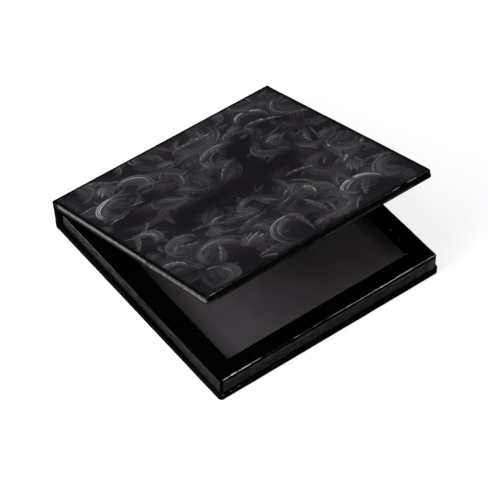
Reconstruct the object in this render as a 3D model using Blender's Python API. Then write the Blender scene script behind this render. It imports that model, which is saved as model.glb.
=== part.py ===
"""Magnetic makeup palette: a book-style case of wrapped greyboard, standing open at about 20 degrees.

Metres, +Z up. X runs across the palette, the lid opens at the front (-Y) and the spine is at the back (+Y).
Every piece is drawn where it lies when the palette is closed, with y = 0 on the spine's outer face and z = 0
on the table. The spine and the lid are then turned about their paper folds.
"""

import collections
import math

import bmesh
import bpy

# Covers: greyboard with paper glued round it
COVER_WIDTH = 0.1000
COVER_DEPTH = 0.1025  # front edge of the base to the spine's outer face, when closed
LID_SET_BACK = 0.0005  # the lid's front edge stops this far behind the base's
COVER_BOARD = 0.0020
CORNER_RADIUS = 0.0015  # front corners, seen from above
EDGE_RADIUS = 0.0006  # paper bent round a board's edge
TURN_IN = 0.0030  # wrap turned over a board's inner face
PAPER = 0.0003
SEAM = 0.0003  # room between pieces that are glued or rest on each other

# Tray: a stack of die-cut frames round the well
FRAME_NAMES = ("frame_lower", "frame_middle", "frame_upper")
FRAME_BOARD = 0.00175
LEDGE = 0.0007  # base left bare in front of the tray and beside it
RAIL_LEFT = 0.0083
RAIL_RIGHT = 0.0063
RAIL_FRONT = 0.0072
RAIL_BACK = 0.0072
TRAY_CORNER_RADIUS = 0.0010
WELL_CORNER_RADIUS = 0.0005
TRAY_EDGE_RADIUS = 0.0004
MAGNET_SHEET = 0.0008

# Spine and paper folds
SPINE_BOARD = 0.0016
SPINE_TO_TRAY = 0.0006
BACK_INSET = 0.0012  # spine's outer face to the papered back edge of each cover
FOLD_INSET = 0.0004  # outer faces to the line that the paper folds about
FOLD_GAP = 0.0003  # slit at the fold line when the palette lies flat open
SPINE_LEAN = math.radians(6.8)
LID_ANGLE = math.radians(20.5)  # from the table

# Closing magnets and the steel discs that they hold
DISC_RADIUS = 0.0020
MAGNET_THICKNESS = 0.0015
PLATE_THICKNESS = 0.0010
DISC_INSET = 0.0143  # tray's side to the middle of a disc

# Cutters and facets
OVERRUN = 0.0010
WELD = 0.000001
CORNER_STEPS = 4
EDGE_STEPS = 3
DISC_SIDES = 20

# Heights when closed
LAYER = PAPER + SEAM
COVER_THICKNESS = COVER_BOARD + 2 * LAYER
TRAY_LOW = COVER_THICKNESS + SEAM
TRAY_HIGH = TRAY_LOW + len(FRAME_NAMES) * (FRAME_BOARD + SEAM) + PAPER
CLOSED_HEIGHT = TRAY_HIGH + SEAM + COVER_THICKNESS
SPINE_LOW = COVER_THICKNESS + SEAM
SPINE_HIGH = CLOSED_HEIGHT - SPINE_LOW
MAGNET_SHEET_TOP = TRAY_LOW + MAGNET_SHEET
WELL_FLOOR = MAGNET_SHEET_TOP + LAYER

# Places in plan
HALF_WIDTH = COVER_WIDTH / 2
LINER_HALF_WIDTH = HALF_WIDTH - TURN_IN - SEAM
SPINE_THICKNESS = SPINE_BOARD + 2 * LAYER
FOLD_END = FOLD_INSET + FOLD_GAP / 2
TRAY_LEFT = -HALF_WIDTH + LEDGE
TRAY_RIGHT = HALF_WIDTH - LEDGE
TRAY_FRONT = -COVER_DEPTH + LEDGE
TRAY_BACK = -SPINE_THICKNESS - SPINE_TO_TRAY
WELL_LEFT = TRAY_LEFT + RAIL_LEFT
WELL_RIGHT = TRAY_RIGHT - RAIL_RIGHT
WELL_FRONT = TRAY_FRONT + RAIL_FRONT
WELL_BACK = TRAY_BACK - RAIL_BACK
DISC_Y = TRAY_FRONT + RAIL_FRONT / 2
DISC_PLACES = (("left", TRAY_LEFT + DISC_INSET), ("right", TRAY_RIGHT - DISC_INSET))

# The origin is under the middle of the palette as it stands open: the leaning spine reaches furthest back
LEAN_REACH = (CLOSED_HEIGHT - FOLD_END - FOLD_INSET) * math.sin(SPINE_LEAN)
SPINE_REACH = LEAN_REACH + FOLD_INSET * math.cos(SPINE_LEAN) - FOLD_INSET
MIDDLE_Y = (SPINE_REACH - COVER_DEPTH) / 2

Finish = collections.namedtuple("Finish", "colour roughness metallic")
GREYBOARD = Finish((0.27, 0.25, 0.22), 0.95, 0.0)
GLOSSY_BLACK = Finish((0.012, 0.011, 0.013), 0.22, 0.0)
PRINTED_LID = Finish((0.020, 0.016, 0.022), 0.18, 0.0)
SATIN_BLACK = Finish((0.030, 0.027, 0.030), 0.42, 0.0)
FERRITE = Finish((0.030, 0.029, 0.028), 0.70, 0.0)
NICKEL = Finish((0.62, 0.60, 0.56), 0.25, 1.0)
STEEL = Finish((0.45, 0.45, 0.46), 0.35, 1.0)

Body = collections.namedtuple("Body", "axis fold")
Cover = collections.namedtuple("Cover", "name body front flipped finish")


def body(name, fold, carrier, opened):
    """An empty on a fold line, turned by as much as the fold is open. Its pieces are parented to it."""
    axis = bpy.data.objects.new(name, None)
    bpy.context.scene.collection.objects.link(axis)
    base_fold = carrier.fold if carrier else (0, MIDDLE_Y, 0)
    axis.parent = carrier.axis if carrier else None
    axis.location = [end - start for end, start in zip(fold, base_fold)]
    axis.rotation_euler.x = -opened
    return Body(axis, fold)


def skin_through(rows, ring=False):
    """A closed skin through rows of equally many points, capped at its ends or joined from last to first."""
    skin = bmesh.new()
    rows = [[skin.verts.new(point) for point in row] for row in rows]
    pairs = list(zip(rows, rows[1:]))
    if ring:
        pairs.append((rows[-1], rows[0]))
    else:
        skin.faces.new(rows[0])
        skin.faces.new(rows[-1])
    for lower, upper in pairs:
        for i in range(len(lower)):
            skin.faces.new((lower[i - 1], lower[i], upper[i], upper[i - 1]))
    bmesh.ops.remove_doubles(skin, verts=skin.verts, dist=WELD)
    bmesh.ops.recalc_face_normals(skin, faces=skin.faces)
    return skin


def plan(left, right, front, back, front_radius, back_radius):
    """Outline seen from above, anticlockwise, with rounded front and back corners."""
    turns = (
        (left + front_radius, front + front_radius, front_radius, 2),
        (right - front_radius, front + front_radius, front_radius, 3),
        (right - back_radius, back - back_radius, back_radius, 0),
        (left + back_radius, back - back_radius, back_radius, 1),
    )
    points = []
    for x, y, radius, quarter in turns:
        for step in range(CORNER_STEPS + 1):
            angle = (quarter + step / CORNER_STEPS) * math.pi / 2
            points.append((x + radius * math.cos(angle), y + radius * math.sin(angle)))
    return points


def at_height(outline, z):
    return [(x, y, z) for x, y in outline]


def slab(outline, low, high):
    return skin_through([at_height(outline, low), at_height(outline, high)])


def block(left, right, front, back, low, high):
    return slab(plan(left, right, front, back, 0, 0), low, high)


def folded_sheet(profile, half_width):
    """A sheet of paper folded along X, from its profile of (y, z) points."""
    return skin_through([[(x, y, z) for y, z in profile] for x in (-half_width, half_width)])


def disc(x, y, radius, low, high):
    turn = 2 * math.pi / DISC_SIDES
    around = [turn * side for side in range(DISC_SIDES)]
    outline = [(x + radius * math.cos(angle), y + radius * math.sin(angle)) for angle in around]
    return slab(outline, low, high)


def edge_arc(radius):
    """Steps round a bent edge, each as (inset of the side, depth below the face), from the side to the face."""
    angles = [step / EDGE_STEPS * math.pi / 2 for step in range(EDGE_STEPS + 1)]
    return [(radius * (1 - math.cos(angle)), radius * (1 - math.sin(angle))) for angle in angles]


def add_object(name, skin, owner):
    mesh = bpy.data.meshes.new(name)
    skin.to_mesh(mesh)
    skin.free()
    piece = bpy.data.objects.new(name, mesh)
    bpy.context.scene.collection.objects.link(piece)
    piece.parent = owner.axis
    piece.location = [-distance for distance in owner.fold]
    return piece


def add_piece(name, skin, owner, finish):
    piece = add_object(name, skin, owner)
    material = bpy.data.materials.new(name)
    material.use_nodes = True
    shader = material.node_tree.nodes["Principled BSDF"]
    shader.inputs["Base Color"].default_value = (*finish.colour, 1)
    shader.inputs["Roughness"].default_value = finish.roughness
    shader.inputs["Metallic"].default_value = finish.metallic
    material.diffuse_color = (*finish.colour, 1)
    piece.data.materials.append(material)
    piece.data.shade_smooth()
    piece.data.set_sharp_from_angle(angle=math.radians(35))
    return piece


def cut(piece, name, skin, owner):
    """Cuts a hidden shape out of a piece of the same body."""
    cutter = add_object(f"{piece.name}_{name}", skin, owner)
    cutter.hide_render = True
    cutter.display_type = "WIRE"
    modifier = piece.modifiers.new(name, "BOOLEAN")
    modifier.operation = "DIFFERENCE"
    modifier.object = cutter


def level(cover, depth):
    """Height of a level that lies this deep below the cover's outer face."""
    return CLOSED_HEIGHT - depth if cover.flipped else depth


def cover_outline(cover, inset, back):
    left = -HALF_WIDTH + inset
    front = cover.front + inset
    return plan(left, -left, front, back, max(CORNER_RADIUS - inset, 0), 0)


def cover_block(cover, half_width, front, back, outer, inner):
    """A block between two depths below the cover's outer face."""
    low, high = sorted((level(cover, outer), level(cover, inner)))
    return block(-half_width, half_width, front, back, low, high)


def add_cover_board(cover):
    low, high = sorted((level(cover, LAYER), level(cover, LAYER + COVER_BOARD)))
    outline = cover_outline(cover, LAYER, -BACK_INSET - LAYER)
    return add_piece(f"{cover.name}_board", slab(outline, low, high), cover.body, GREYBOARD)


def add_cover_wrap(cover):
    """Outer paper: face, front and side walls, and the part of its turn-in that shows round the liner."""
    arc = edge_arc(EDGE_RADIUS)
    outer = [(inset, depth) for inset, depth in reversed(arc)]
    inner = [(inset, COVER_THICKNESS - depth) for inset, depth in arc]
    rows = [
        at_height(cover_outline(cover, inset, -FOLD_END), level(cover, depth))
        for inset, depth in outer + inner
    ]
    wrap = add_piece(f"{cover.name}_wrap", skin_through(rows), cover.body, cover.finish)
    past_back = OVERRUN
    past_inside = COVER_THICKNESS + OVERRUN
    inner_half_width = HALF_WIDTH - PAPER
    board_room = cover_block(
        cover, inner_half_width, cover.front + PAPER, past_back, PAPER, COVER_THICKNESS - PAPER
    )
    cut(wrap, "board_room", board_room, cover.body)
    liner_front = cover.front + TURN_IN
    liner_half_width = HALF_WIDTH - TURN_IN
    liner_room = cover_block(
        cover, liner_half_width, liner_front, past_back, COVER_THICKNESS / 2, past_inside
    )
    cut(wrap, "liner_room", liner_room, cover.body)
    hinge_room = cover_block(
        cover, HALF_WIDTH + OVERRUN, -BACK_INSET, past_back, PAPER, past_inside
    )
    cut(wrap, "hinge_room", hinge_room, cover.body)
    return wrap


def add_cover_liner(cover):
    """Inner paper, turned down over the board's back edge."""
    front = cover.front + TURN_IN + SEAM
    edge = -BACK_INSET - PAPER
    profile = (
        (front, COVER_THICKNESS),
        (front, COVER_THICKNESS - PAPER),
        (edge, COVER_THICKNESS - PAPER),
        (edge, LAYER),
        (-BACK_INSET, LAYER),
        (-BACK_INSET, COVER_THICKNESS),
    )
    profile = [(y, level(cover, depth)) for y, depth in profile]
    skin = folded_sheet(profile, LINER_HALF_WIDTH)
    return add_piece(f"{cover.name}_liner", skin, cover.body, SATIN_BLACK)


def tray_outline(inset):
    left, right = TRAY_LEFT + inset, TRAY_RIGHT - inset
    front, back = TRAY_FRONT + inset, TRAY_BACK - inset
    radius = max(TRAY_CORNER_RADIUS - inset, 0)
    return plan(left, right, front, back, radius, radius)


def well_outline(outset):
    left, right = WELL_LEFT - outset, WELL_RIGHT + outset
    front, back = WELL_FRONT - outset, WELL_BACK + outset
    radius = max(WELL_CORNER_RADIUS + outset, 0)
    return plan(left, right, front, back, radius, radius)


def add_frames(owner):
    frames = []
    low = TRAY_LOW
    for name in FRAME_NAMES:
        high = low + FRAME_BOARD
        outer, inner = tray_outline(LAYER), well_outline(LAYER)
        rows = [at_height(outer, low), at_height(outer, high), at_height(inner, high), at_height(inner, low)]
        frames.append(add_piece(name, skin_through(rows, ring=True), owner, GREYBOARD))
        low = high + SEAM
    return frames


def add_tray_wrap(owner):
    """Paper over the tray: outer walls, top and well walls, open below."""
    arc = edge_arc(TRAY_EDGE_RADIUS)
    rows = [at_height(tray_outline(0), TRAY_LOW)]
    rows += [at_height(tray_outline(inset), TRAY_HIGH - depth) for inset, depth in arc]
    rows += [at_height(well_outline(inset), TRAY_HIGH - depth) for inset, depth in reversed(arc)]
    rows += [
        at_height(well_outline(0), TRAY_LOW),
        at_height(well_outline(PAPER), TRAY_LOW),
        at_height(well_outline(PAPER), TRAY_HIGH - PAPER),
        at_height(tray_outline(PAPER), TRAY_HIGH - PAPER),
        at_height(tray_outline(PAPER), TRAY_LOW),
    ]
    return add_piece("tray_wrap", skin_through(rows, ring=True), owner, GLOSSY_BLACK)


def add_well_floor(owner):
    outline = well_outline(-SEAM)
    add_piece("magnet_sheet", slab(outline, TRAY_LOW, MAGNET_SHEET_TOP), owner, FERRITE)
    add_piece("well_paper", slab(outline, MAGNET_SHEET_TOP + SEAM, WELL_FLOOR), owner, SATIN_BLACK)


def add_closing_magnets(upper_frame, lid_board, case, lid):
    """Disc magnets in the tray's front rail, and steel discs above them in the lid's board."""
    frame_low = TRAY_HIGH - LAYER - FRAME_BOARD
    frame_high = TRAY_HIGH - LAYER
    board_low = CLOSED_HEIGHT - COVER_THICKNESS + LAYER
    room = DISC_RADIUS + SEAM
    for side, x in DISC_PLACES:
        pocket = disc(x, DISC_Y, room, frame_low - OVERRUN, frame_high + OVERRUN)
        cut(upper_frame, f"pocket_{side}", pocket, case)
        magnet = disc(x, DISC_Y, DISC_RADIUS, frame_low, frame_low + MAGNET_THICKNESS)
        add_piece(f"tray_magnet_{side}", magnet, case, NICKEL)
        pocket = disc(x, DISC_Y, room, board_low - OVERRUN, board_low + PLATE_THICKNESS + SEAM)
        cut(lid_board, f"pocket_{side}", pocket, lid)
        plate = disc(x, DISC_Y, DISC_RADIUS, board_low, board_low + PLATE_THICKNESS)
        add_piece(f"lid_plate_{side}", plate, lid, STEEL)


def add_spine_board(owner):
    half_width = HALF_WIDTH - LAYER
    skin = block(
        -half_width, half_width, LAYER - SPINE_THICKNESS, -LAYER, SPINE_LOW + LAYER, SPINE_HIGH - LAYER
    )
    return add_piece("spine_board", skin, owner, GREYBOARD)


def add_spine_wrap(owner):
    """Outer paper of the spine, from fold to fold, turned in round the ends of the spine board."""
    low, high = FOLD_END, CLOSED_HEIGHT - FOLD_END
    outline = plan(-HALF_WIDTH, HALF_WIDTH, -SPINE_THICKNESS, 0, EDGE_RADIUS, EDGE_RADIUS)
    wrap = add_piece("spine_wrap", slab(outline, low, high), owner, GLOSSY_BLACK)
    past_inside = -SPINE_THICKNESS - OVERRUN
    past_low, past_high = low - OVERRUN, high + OVERRUN
    inner = HALF_WIDTH - PAPER
    board_room = block(-inner, inner, PAPER - SPINE_THICKNESS, -PAPER, past_low, past_high)
    cut(wrap, "board_room", board_room, owner)
    middle_y = -SPINE_THICKNESS / 2
    inner = HALF_WIDTH - TURN_IN
    liner_room = block(-inner, inner, past_inside, middle_y, past_low, past_high)
    cut(wrap, "liner_room", liner_room, owner)
    outer = HALF_WIDTH + OVERRUN
    for name, start, end in (("low", past_low, SPINE_LOW), ("high", SPINE_HIGH, past_high)):
        hinge_room = block(-outer, outer, past_inside, -PAPER, start, end)
        cut(wrap, f"hinge_room_{name}", hinge_room, owner)
    return wrap


def add_spine_liner(owner):
    """Inner paper of the spine: over the board's inner face and along both hinge bands of the wrap."""
    band, band_inside = -LAYER, -LAYER - PAPER
    face, face_inside = -SPINE_THICKNESS, PAPER - SPINE_THICKNESS
    end = FOLD_END + LAYER
    lower = (
        (band_inside, end),
        (band_inside, SPINE_LOW),
        (face, SPINE_LOW),
    )
    lower_inside = (
        (face_inside, SPINE_LOW + PAPER),
        (band, SPINE_LOW + PAPER),
        (band, end),
    )
    outside = list(lower) + [(y, CLOSED_HEIGHT - z) for y, z in reversed(lower)]
    inside = [(y, CLOSED_HEIGHT - z) for y, z in reversed(lower_inside)] + list(lower_inside)
    skin = folded_sheet(outside + inside, LINER_HALF_WIDTH)
    return add_piece("spine_liner", skin, owner, SATIN_BLACK)


def clear_scene():
    for thing in list(bpy.data.objects):
        bpy.data.objects.remove(thing)


def build_palette():
    case = body("case_frame", (0, 0, 0), None, 0)
    lower_fold = (0, -FOLD_INSET, FOLD_INSET)
    spine = body("spine_fold", lower_fold, case, SPINE_LEAN)
    upper_fold = (0, -FOLD_INSET, CLOSED_HEIGHT - FOLD_INSET)
    lid = body("lid_fold", upper_fold, spine, LID_ANGLE - SPINE_LEAN)
    boards = {}
    covers = (
        Cover("base", case, -COVER_DEPTH, False, GLOSSY_BLACK),
        Cover("lid", lid, -COVER_DEPTH + LID_SET_BACK, True, PRINTED_LID),
    )
    for cover in covers:
        boards[cover.name] = add_cover_board(cover)
        add_cover_wrap(cover)
        add_cover_liner(cover)
    frames = add_frames(case)
    add_tray_wrap(case)
    add_well_floor(case)
    add_closing_magnets(frames[-1], boards["lid"], case, lid)
    add_spine_board(spine)
    add_spine_wrap(spine)
    add_spine_liner(spine)


clear_scene()
build_palette()
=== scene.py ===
"""Looks of the magnetic makeup palette: covers, paper hinges, tray, print, floor, lights and camera."""

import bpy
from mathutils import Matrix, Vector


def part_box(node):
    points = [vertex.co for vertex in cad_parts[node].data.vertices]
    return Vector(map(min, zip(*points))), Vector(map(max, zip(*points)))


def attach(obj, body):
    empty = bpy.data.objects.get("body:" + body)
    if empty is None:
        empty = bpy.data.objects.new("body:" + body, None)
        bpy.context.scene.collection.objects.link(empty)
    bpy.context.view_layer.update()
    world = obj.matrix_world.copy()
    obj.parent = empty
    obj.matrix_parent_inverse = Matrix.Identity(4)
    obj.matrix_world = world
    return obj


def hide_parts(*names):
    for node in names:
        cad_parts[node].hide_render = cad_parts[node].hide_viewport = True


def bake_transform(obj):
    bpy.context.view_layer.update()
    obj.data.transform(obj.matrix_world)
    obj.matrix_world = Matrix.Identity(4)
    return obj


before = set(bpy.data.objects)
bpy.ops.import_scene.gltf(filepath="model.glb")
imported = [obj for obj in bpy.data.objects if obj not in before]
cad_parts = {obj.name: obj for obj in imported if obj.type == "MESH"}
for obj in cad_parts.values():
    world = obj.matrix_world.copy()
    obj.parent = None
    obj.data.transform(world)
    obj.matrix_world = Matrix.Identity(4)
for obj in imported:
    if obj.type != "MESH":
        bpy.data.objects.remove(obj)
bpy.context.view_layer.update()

import math

import bpy
import numpy as np
from mathutils import Matrix, Vector

MM = 0.001

# Sizes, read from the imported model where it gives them
BASE_LOW, BASE_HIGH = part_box("base_wrap")
TRAY_LOW, TRAY_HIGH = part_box("tray_wrap")
FLOOR_LOW, FLOOR_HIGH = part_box("well_paper")
HALF_WIDTH = BASE_HIGH.x
COVER_THICKNESS = BASE_HIGH.z - BASE_LOW.z
COVER_DEPTH = 102.5 * MM  # base's front edge to the spine's outer face, when closed
LID_SET_BACK = 0.5 * MM
SPINE_THICKNESS = 2.8 * MM
CLOSED_HEIGHT = 13.45 * MM
FOLD_INSET = 0.4 * MM  # outer faces to the line that the paper folds about
BACK_INSET = 1.2 * MM  # spine's outer face to each cover's back edge
SEAM = 0.3 * MM
TURN_IN = 3.0 * MM
SPINE_LEAN = math.radians(6.8)
LID_ANGLE = math.radians(20.5)
DRAWING_SHIFT = BASE_LOW.y + COVER_DEPTH  # the closed drawing has y = 0 on the spine's outer face
LOW_FOLD = (-FOLD_INSET, FOLD_INSET)
HIGH_FOLD = (-FOLD_INSET, CLOSED_HEIGHT - FOLD_INSET)
BASE_FRONT = -COVER_DEPTH
LID_FRONT = -COVER_DEPTH + LID_SET_BACK

# Paper
PAPER = 0.25 * MM
LIP_STEP = 0.10 * MM  # the lining lies this much above the turned-in wrap
CORNER_RADIUS = 1.5 * MM
FOLD_RADIUS = 0.66 * MM
FOLD_STEPS = 18
BAND_THICKNESS = 0.5 * MM
BAND_START = 1.6 * MM  # spine's outer face to the line where the hinge paper leaves the board
BAND_SIDE_GAP = 0.02 * MM  # the hinge paper's sides stay this far inside the cover's
FLAP_RADIUS = 0.3 * MM
FLAP_START = LIP_STEP + FLAP_RADIUS  # from the board's end to where its flap turns in
LIP_END = TURN_IN + 0.6 * MM  # the turned-in paper ends this far in from the cover's side
FLAP_ROWS = 17  # rows of a cover's shell that turn in over the board's back edge
LINING_BEND = 0.3 * MM
TRAY_CORNER = 1.0 * MM
TRAY_BEND = 0.62 * MM
WELL_CORNER = 0.5 * MM
WELL_BEND = 0.35 * MM
RIM = 2.0 * MM  # the lid's print is on a fine grid inside this rim
WELD = 0.002 * MM  # points nearer than this become one
SHARP_ANGLE = math.radians(40)
SIDE_POINTS = 230  # points along each side of a cover or of the tray
FADE = 0.7  # millimetres over which a painted highlight fades at its ends


# ---- places

def turned(points, pivot, angle):
    """Points of the closed drawing, turned open about a fold."""
    y, z = points[..., 1] - pivot[0], points[..., 2] - pivot[1]
    cosine, sine = math.cos(angle), math.sin(angle)
    out = points.copy()
    out[..., 1] = pivot[0] + y * cosine + z * sine
    out[..., 2] = pivot[1] - y * sine + z * cosine
    return out


def on_base(points):
    """The base lies as it is drawn."""
    return np.asarray(points, float) + (0, DRAWING_SHIFT, 0)


def on_spine(points):
    """The spine leans back about the lower fold."""
    return on_base(turned(np.asarray(points, float), LOW_FOLD, SPINE_LEAN))


def on_lid(points):
    """The lid is drawn as a base, turned over, opened about the upper fold and leant with the spine."""
    closed = np.array(points, float)
    closed[..., 2] = CLOSED_HEIGHT - closed[..., 2]
    return on_base(turned(turned(closed, HIGH_FOLD, LID_ANGLE - SPINE_LEAN), LOW_FOLD, SPINE_LEAN))


# ---- meshes

def link(name, data):
    """A mesh, lamp or camera as an object of the scene."""
    piece = bpy.data.objects.new(name, data)
    bpy.context.scene.collection.objects.link(piece)
    return piece


def grid_mesh(name, points, uv, outward, closed_across=False, shine=None):
    """Quads through a grid of points. outward is (row, station, direction) of one face."""
    index = np.arange(points[..., 0].size).reshape(points.shape[:2])
    if closed_across:
        index = np.hstack([index, index[:, :1]])
    low, high = index[:-1], index[1:]
    faces = np.stack([low[:, :-1], low[:, 1:], high[:, 1:], high[:, :-1]], 2)
    mesh = bpy.data.meshes.new(name)
    mesh.from_pydata(points.reshape(-1, 3).tolist(), [], faces.reshape(-1, 4).tolist())
    flat = uv.reshape(-1, 2)[faces.ravel()]
    mesh.uv_layers.new(name="sheet").data.foreach_set("uv", flat.astype(np.float32).ravel())
    # shine carries painted highlights and painted reflections, one number for each point.
    highlight_paint = mesh.attributes.new("shine", "FLOAT", "POINT")
    if shine is not None:
        highlight_paint.data.foreach_set("value", shine.astype(np.float32).ravel())
    mesh.update()
    row, station, direction = outward
    face = mesh.polygons[row * faces.shape[1] + station]
    if face.normal.dot(Vector(direction)) < 0:
        mesh.flip_normals()
    return mesh


def flat_grid(xs, ys, z=0.0):
    """A level grid of points."""
    x, y = np.meshgrid(xs, ys)
    return np.stack([x, y, np.full_like(x, z)], 2)


def run_along(path):
    """How far along a path each of its points lies."""
    return np.concatenate([[0], np.cumsum(np.linalg.norm(np.diff(path, axis=0), axis=1))])


def finish_mesh(piece, thickness=0.0):
    """Merges what meets, gives the sheet its thickness on the inside and smooths it."""
    weld = piece.modifiers.new("weld", "WELD")
    weld.merge_threshold = WELD
    if thickness:
        solid = piece.modifiers.new("thickness", "SOLIDIFY")
        solid.thickness = thickness
        solid.offset = -1
    bpy.context.view_layer.update()
    graph = bpy.context.evaluated_depsgraph_get()
    made = bpy.data.meshes.new_from_object(piece.evaluated_get(graph))
    piece.modifiers.clear()
    old = piece.data
    piece.data = made
    bpy.data.meshes.remove(old)
    made.shade_smooth()
    made.set_sharp_from_angle(angle=SHARP_ANGLE)
    return piece


def smooth_noise(count, knots, seed):
    """A smooth random line through -1..1, the same on each run."""
    values = np.random.default_rng(seed).uniform(-1, 1, knots + 3)
    at = np.linspace(0, knots - 1e-6, count)
    i = at.astype(int)
    t = at - i
    a, b, c, d = values[i], values[i + 1], values[i + 2], values[np.minimum(i + 3, knots + 2)]
    slope = (c - a) * t
    curve = (2 * a - 5 * b + 4 * c - d) * t * t
    return 0.5 * (2 * b + slope + curve + (3 * b - a - 3 * c + d) * t ** 3)


def painted_highlights(rows, runs, table, seed):
    """How pale each point is painted, as painted highlights and painted reflections of the glossy paper.
    By side, a table holds (first row, last row, start, end, strength, broken), and some end with the
    length of their fading end. Places along the side are in millimetres, and broken goes from 0, even, to
    1, in separate glints."""
    count = len(next(iter(runs.values())))
    shine = np.zeros((rows, count))
    painted_marks = [(runs[side] / MM, *painted_mark) for side, group in table for painted_mark in group]
    for i, (run, first, last, start, end, strength, broken, *tail) in enumerate(painted_marks):
        fade_out = tail[0] if tail else FADE
        fade = np.clip((run - start) / FADE, 0, 1) * np.clip((end - run) / fade_out, 0, 1)
        breaks = smooth_noise(count, 300, seed + i) + 0.7 * smooth_noise(count, 110, seed + 40 + i)
        share = np.clip(1 - broken * (0.60 + 0.65 * breaks), 0.12, 1)
        shine[first:last + 1] = np.maximum(shine[first:last + 1], strength * fade * share)
    return shine


# ---- print

class Canvas:
    """The print's tone over a grid of points in millimetres, painted stroke over stroke."""

    def __init__(self, xs, ys):
        self.x, self.y = np.meshgrid(xs, ys)
        self.tone, self.across, self.along, self.lines = np.zeros((4, *self.x.shape))

    def window(self, cx, cy, reach):
        """The part of the grid within reach of a point."""
        rows = np.abs(self.y[:, 0] - cy) < reach
        columns = np.abs(self.x[0] - cx) < reach
        return np.ix_(rows, columns)

    def lay(self, part, cover, shade, tone, across, along, lines):
        """Paints over a part, with a soft dark edge round the stroke."""
        under = self.tone[part] * (1 - 0.65 * shade)
        self.tone[part] = under * (1 - cover) + tone * cover
        top = cover > 0.5
        self.across[part] = np.where(top, across, self.across[part])
        self.along[part] = np.where(top, along, self.along[part])
        self.lines[part] = np.where(top, lines, self.lines[part] * (1 - shade))


EDGE = 0.4  # softness of a stroke's edge, in millimetres as all sizes of the print
LIGHT = math.radians(75)  # where the painted light comes from
STRAND = 0.95  # width of one strand of a plume
FAN_LEAVES = 7
SCROLL_LEAVES = 5
BARE_HALF = (31.0, 7.0)  # half the size of the bare place in the lid's middle
BARE_MIDDLE = 51.0  # from the spine's outer face to its middle


def smooth(value, low, high):
    """A soft step from 0 at low to 1 at high."""
    t = np.clip((value - low) / (high - low), 0, 1)
    return t * t * (3 - 2 * t)


def leaf(canvas, base, heading, length, width, bend, bright, lobes=0):
    """A tapered leaf that curves to one side, with a rib and perhaps with lobes."""
    part = canvas.window(*base, length * 1.15 + width)
    dx, dy = canvas.x[part] - base[0], canvas.y[part] - base[1]
    cosine, sine = math.cos(heading), math.sin(heading)
    along = dx * cosine + dy * sine
    t = along / length
    side = -dx * sine + dy * cosine - bend * length * t * np.abs(t)
    inside = (t > 0) & (t < 1)
    t = np.clip(t, 0, 1)
    half = width / 2 * np.sin(math.pi * t ** 0.75) ** 0.8 + 0.01
    q = np.clip(side / half, -1.5, 1.5)
    if lobes:
        lobe = np.mod(t * lobes - 0.75 * np.abs(q), 1.0)
        half = half * (0.66 + 0.34 * np.sin(math.pi * lobe ** 0.6))
        q = np.clip(side / half, -1.5, 1.5)
    distance = (half - np.abs(side)) / np.sqrt(1 + (2 * bend * t) ** 2)
    cover = np.clip(distance / EDGE + 0.5, 0, 1) * inside
    shade = smooth(distance, -1.0, 0.0) * inside
    facing = math.sin(LIGHT - heading)
    lit = 0.42 + 0.34 * np.clip(q, -1, 1) * facing
    bright_edge = np.exp(-((q * np.sign(facing) - 0.70) / 0.18) ** 2) * abs(facing)
    dark_rib = np.exp(-(q / 0.13) ** 2)
    lit = (lit + 0.34 * bright_edge) * (1 - 0.5 * dark_rib)
    if lobes:
        lit = lit * (0.55 + 0.65 * lobe)
    tone = bright * lit * (0.4 + 0.6 * t)
    veins = 0.5 * smooth(distance, 0.1, 0.5)
    across = 1.3 * np.abs(side) / STRAND - 0.9 * along / STRAND
    canvas.lay(part, cover, shade, tone, across, along, veins)


def plume(canvas, centre, start, sweep, radius, curl, strands, hand, bright, draw):
    """Strands that wind in on a spiral, each with its own length and brightness."""
    width = strands * STRAND
    part = canvas.window(*centre, radius * 1.05 + width)
    dx, dy = canvas.x[part] - centre[0], canvas.y[part] - centre[1]
    r = np.hypot(dx, dy)
    angle = np.arctan2(dy, dx)
    phi = np.mod(hand * (angle - start), 2 * math.pi)
    facing = np.cos(angle - LIGHT)
    levels = draw.uniform(0.35, 1.0, strands) ** 1.3 * np.linspace(0.50, 1.35, strands)
    begins = draw.uniform(0.0, 0.16, strands)
    ends = draw.uniform(0.72, 1.0, strands)
    for turn in (0, 1):
        theta = phi + 2 * math.pi * turn
        inside = theta < sweep
        t = np.clip(theta / sweep, 0, 1)
        middle = radius * np.exp(-curl * theta)
        swell = 0.35 + 0.65 * np.sin(math.pi * t ** 0.8)
        half = width / 2 * swell * np.exp(-0.75 * curl * theta) + 0.01
        q = (r - middle) / half
        position = (q * 0.5 + 0.5) * strands
        index = np.clip(np.floor(position), 0, strands - 1).astype(int)
        begun = smooth(t, begins[index], begins[index] + 0.16)
        own = begun * (1 - smooth(t, ends[index] - 0.2, ends[index]))
        distance = half - np.abs(r - middle)
        cover = np.clip(distance / EDGE + 0.5, 0, 1) * inside * (0.25 + 0.75 * own)
        ends_off = smooth(t, 0.0, 0.1) * (1 - smooth(t, 0.85, 1.0))
        shade = smooth(distance, -1.2, 0.0) * inside * ends_off
        q = np.clip(q, -1, 1)
        lit = 0.22 + 0.20 * np.sqrt(1 - q * q) + 0.20 * facing
        tone = bright * levels[index] * (0.35 + 0.75 * np.clip(lit * 1.6, 0, 2)) * own
        lines = smooth(distance, 0.0, 0.5) * inside
        canvas.lay(part, cover, shade, np.clip(tone, 0, 2), position - 0.5, theta * middle, lines)


def palmette(canvas, base, heading, size, bright):
    """A fan of leaves on one foot."""
    middle = (FAN_LEAVES - 1) / 2
    for i in sorted(range(FAN_LEAVES), key=lambda i: -abs(i - middle)):
        lean = (i - middle) / middle
        length = size * (1 - 0.42 * abs(lean) ** 1.4)
        tone = bright * (1 - 0.2 * abs(lean))
        leaf(canvas, base, heading + 1.15 * lean, length, size * 0.30, -0.30 * lean, tone)


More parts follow.
